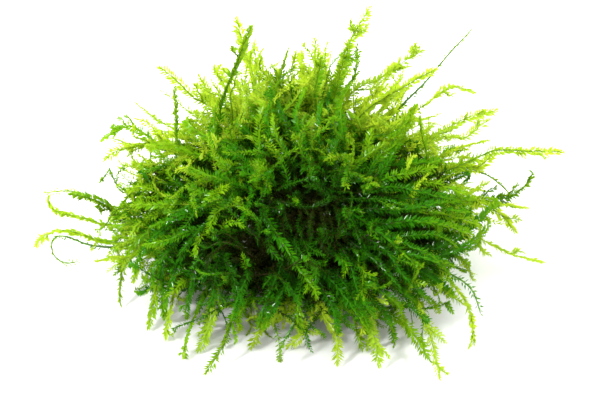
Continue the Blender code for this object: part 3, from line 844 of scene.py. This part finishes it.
for name, rows in LAID.items():
    lines = np.stack([even(np.array(row[1:]) * MM, LAID_RINGS) for row in rows])
    age, leaf, girth = np.array([LAID_KINDS[row[0]] for row in rows]).T
    laid = Growth(
        lines=above_floor(wavering(lines, 0.25 * MM)),
        girth=girth * MM,
        leaf=leaf * draw.uniform(0.9, 1.1, len(rows)) * MM,
        bare=np.full(len(rows), 0.04),
        tone=draw.integers(0, STEM_TONE, len(rows)).astype(float),
        age=age + draw.uniform(-0.03, 0.04, len(rows)),
        ripen=draw.uniform(0.013, 0.021, len(rows)) / MM,
        lie=draw.normal(0, 0.18, (len(rows), 3)),
    )
    short, _ = side_branches(laid, 0.05, 4.0 * MM, np.radians(40))
    shade = 0.85 if name == "laid_shoots_heart" else 0.55
    parts = grown(laid, LEAVES_PER_MM, shade) + grown(short, LEAVES_PER_MM, shade)
    moss_piece(name, parts, ["tangled_mat"])


# ---------------------------------------------------------------------------------------------------
# The felted heart: last year's stems and leaves, brown and black, too tightly matted to see between.
# Its brown is old growth and its near black is painted shade of the deep gaps.
# It is one closed lump well inside the imported shoots, and shows only in the gaps between them.
FELT_TURNS = 48
FELT_LEVELS = 24
FELT_SHARE = 0.70
FELT_GAP = 0.5 * MM
FELT_TONE = 2.5
FELT_AGE_AND_PAINTED_SHADE = 0.90


def felted_heart_and_painted_shade():
    """A closed ball of rings and two poles, out to a share of the mat's reach, pushed in and out by
    sine waves of its way in each direction, and flat on the floor."""
    turn = np.arange(FELT_TURNS) * 2 * np.pi / FELT_TURNS
    climb = np.cos(np.pi * (np.arange(1, FELT_LEVELS) / FELT_LEVELS))[:, None]
    flat = np.sqrt(1 - climb**2)
    height = np.repeat(climb, FELT_TURNS, 1)
    rings = np.stack([flat * np.cos(turn), flat * np.sin(turn), height], -1)
    ways = np.concatenate([[[0, 0, 1.0]], rings.reshape(-1, 3), [[0, 0, -1.0]]])
    lumps = np.sin(ways @ (9, 4, 7)) + np.sin(ways @ (-6, 11, 5)) + np.sin(ways @ (13, -8, 17))
    spots = HEART + ways * (mat_reach(ways) * (FELT_SHARE + 0.03 * lumps))[:, None]
    spots[:, 2] = np.maximum(spots[:, 2], FELT_GAP)
    one = np.arange(FELT_TURNS)
    two = (one + 1) % FELT_TURNS
    high = 1 + np.arange(FELT_LEVELS - 2)[:, None] * FELT_TURNS
    low = high + FELT_TURNS
    walls = [np.stack([high + one, low + one, low + two], -1).reshape(-1, 3),
             np.stack([high + one, low + two, high + two], -1).reshape(-1, 3)]
    last = len(ways) - 1
    top = np.stack([np.zeros_like(one), 1 + one, 1 + two], -1)
    bottom = np.stack([np.full_like(one, last), last - FELT_TURNS + two, last - FELT_TURNS + one], -1)
    speckle = draw.integers(0, 3, len(ways))
    # The felt's near-black colour is partly painted shade of the deep gaps.
    age = FELT_AGE_AND_PAINTED_SHADE + 0.02 * lumps + 0.001 * speckle
    places = np.stack([(FELT_TONE + 0.1 * lumps) / TONES, age], -1)
    return spots[None], np.concatenate([*walls, top, bottom]), places[None]


moss_piece("felted_heart_and_painted_shade", [felted_heart_and_painted_shade()], ["tangled_mat"])


# ---------------------------------------------------------------------------------------------------
# The shoots that stand clear of the mat, one piece each. Each follows the solid stem of its node, from
# the heart out to the tip. Broad ones carry long leaves and a few branches; runners only short leaves.
CLEAR_RINGS = 34
FINE_RINGS = 120
FIRST_CORNERS = 6
ROOT_RINGS = 8
RUNNER_GIRTH = 0.40 * MM
RUNNER_STEM = 0.34 * MM
RUNNER_LEAF = 0.9 * MM
LEAFY_STEM = 0.20 * MM
CLEAR_SHADE = 0.35
TIP_AGE = {"young_shoots": 0.01, "green_shoots": 0.26, "old_stems": 0.31}
RUNNER_LEAVES_PER_MM = {"young_shoots": 6.5, "green_shoots": 6.5, "old_stems": 5.0}


def node_centreline(name):
    """The centreline of a stem's mesh, from its foot to its tip, and its girth. A walk goes from ring to
    ring, each the corners one more edge away, and the rings' means are the line. The first walk finds
    an end of the stem, and the second goes from there to the other end. The girth is the middle one of
    the corners' distances from the line."""
    spots, joined = corners_of(name)
    edges = joined[np.array([edge.vertices[:] for edge in frame["nodes"][name].data.edges])]
    edges = edges[edges[:, 0] != edges[:, 1]]
    line = [spots[np.argmax(np.linalg.norm(spots - HEART, axis=1))]]
    for _ in range(2):
        ring = np.argsort(np.linalg.norm(spots - line[-1], axis=1))[:FIRST_CORNERS]
        reached = np.zeros(len(spots), bool)
        line = []
        while len(ring):
            reached[ring] = True
            line.append(spots[ring].mean(0))
            found = np.unique(edges[np.isin(edges, ring).any(1)])
            ring = found[~reached[found]]
    line = np.array(line)
    ends = np.linalg.norm(line[[0, -1]] - HEART, axis=1)
    girths = np.linalg.norm(spots[:, None] - even(line, FINE_RINGS)[None], axis=2).min(1)
    return line if ends[0] < ends[1] else line[::-1], np.median(girths)


def rooted(line):
    """The line carried back into the mat: a curve from near the heart that meets its foot's run."""
    steps = np.linalg.norm(np.diff(line, axis=0), axis=1)
    line = line[np.concatenate([[True], steps > 0.4 * MM])]
    foot = line[0]
    run = unit(line[min(1, len(line) - 1)] - foot) if len(line) > 1 else unit(foot - HEART)
    inner = HEART + (foot - HEART) * 0.45
    bend = foot - run * np.linalg.norm(foot - inner) * 0.5
    t = np.linspace(0, 1, ROOT_RINGS)[:-1, None]
    root = inner * (1 - t) ** 2 + bend * 2 * t * (1 - t) + foot * t**2
    return np.concatenate([root, line])


slots = {part["node"]: part["material_slot"] for part in frame["record"]["subparts"]}
for name in sorted(frame["nodes"]):
    if name == "tangled_mat":
        continue
    slot = slots[name]
    line, girth = node_centreline(name)
    line = even(rooted(line), CLEAR_RINGS)[None]
    tip = line[0, -1]
    lies_low = tip[2] < 3 * MM
    lies_behind = tip[1] > 15 * MM
    runner = girth < RUNNER_GIRTH
    shoot = Growth(
        lines=above_floor(line),
        girth=np.array([RUNNER_STEM if runner else LEAFY_STEM]),
        leaf=np.array([RUNNER_LEAF if runner else 0.95 * MM + 0.85 * girth]),
        bare=np.array([0.25]),
        tone=np.array([float(draw.integers(0, STEM_TONE))]),
        # Tips lying low or behind are coloured a little younger and lighter: painted light from the bright
        # table round them.
        age=np.array([TIP_AGE[slot] - 0.10 * (lies_low or lies_behind)]),
        ripen=np.array([0.009 / MM]),
        lie=draw.normal(0, 0.35, (1, 3)),
    )
    parts = grown(shoot, RUNNER_LEAVES_PER_MM[slot] if runner else LEAVES_PER_MM, CLEAR_SHADE)
    if not runner:
        branches, _ = side_branches(shoot, 0.17, 5.0 * MM, np.radians(48))
        if len(branches.girth):
            parts += grown(branches, LEAVES_PER_MM, CLEAR_SHADE)
    moss_piece(name + "_shoot", parts, [name])


# ---------------------------------------------------------------------------------------------------
# The place it lies in: a pale plain table top under a white sky, a broad soft lamp above and behind,
# and a smaller one at the front left that puts the glints on the wet leaves.
TABLE_HALF = 4.0
TABLE_GREY = (0.86, 0.86, 0.86)
SKY_LIGHT = 0.68
KEY_LIGHT = 5.7
KEY_WIDTH = np.radians(140)
GLINT_POWER = 2.4
GLINT_WIDTH = 0.06


def plain_finish(name, colour, roughness):
    """A matt finish of one colour."""
    finish = bpy.data.materials.new(name)
    finish.use_nodes = True
    shader = finish.node_tree.nodes["Principled BSDF"]
    shader.inputs["Base Color"].default_value = (*colour, 1)
    shader.inputs["Roughness"].default_value = roughness
    return finish


def look_at(holder, place, aim):
    """Puts a lamp or the camera in its place, turned to look at its aim."""
    holder.location = place
    holder.rotation_euler = (Vector(aim) - Vector(place)).to_track_quat("-Z", "Y").to_euler()
    bpy.context.scene.collection.objects.link(holder)


def lamp(name, kind, power, place, aim):
    """A lamp that looks at its aim, and the object that holds it."""
    light = bpy.data.lights.new(name, kind)
    light.energy = power
    holder = bpy.data.objects.new(name, light)
    look_at(holder, place, aim)
    return light, holder


floor_mesh = bpy.data.meshes.new("table_top")
signs = ((-1, -1), (1, -1), (1, 1), (-1, 1))
corners = [(TABLE_HALF * across, TABLE_HALF * back, 0) for across, back in signs]
floor_mesh.from_pydata(corners, [], [(0, 1, 2, 3)])
floor_mesh.materials.append(plain_finish("pale_table", TABLE_GREY, 0.9))
table_top = bpy.data.objects.new("table_top", floor_mesh)
bpy.context.scene.collection.objects.link(table_top)
table_top.visible_glossy = False

world = bpy.data.worlds.new("white_sky")
world.use_nodes = True
background = world.node_tree.nodes["Background"]
white = (1, 1, 1, 1)
background.inputs["Color"].default_value = white
seen = Socket(background.outputs[0])
felt = seen.node("ShaderNodeBackground", inputs={"Color": white, "Strength": SKY_LIGHT})
from_camera = seen.node("ShaderNodeLightPath")
both = seen.node("ShaderNodeMixShader", inputs={0: from_camera, 1: felt, 2: seen})
world.node_tree.links.new(both.output, world.node_tree.nodes["World Output"].inputs["Surface"])
world.cycles_visibility.glossy = False
bpy.context.scene.world = world

key, key_holder = lamp("soft_key", "SUN", KEY_LIGHT, (0.02, 0.28, 0.60), (0, 0, 0))
key.angle = KEY_WIDTH
key_holder.visible_glossy = False
glint, _ = lamp("lamp_front_left", "AREA", GLINT_POWER, (-0.34, -0.30, 0.36), (0, 0, 0.02))
glint.size = GLINT_WIDTH

camera_data = bpy.data.cameras.new("camera")
camera_data.lens = 135
camera_data.sensor_width = 36
camera = bpy.data.objects.new("camera", camera_data)
look_at(camera, (0, -0.35677, 0.27454), (0, 0.0073, 0.0100))
bpy.context.scene.camera = camera
bpy.context.scene.view_settings.view_transform = "Standard"
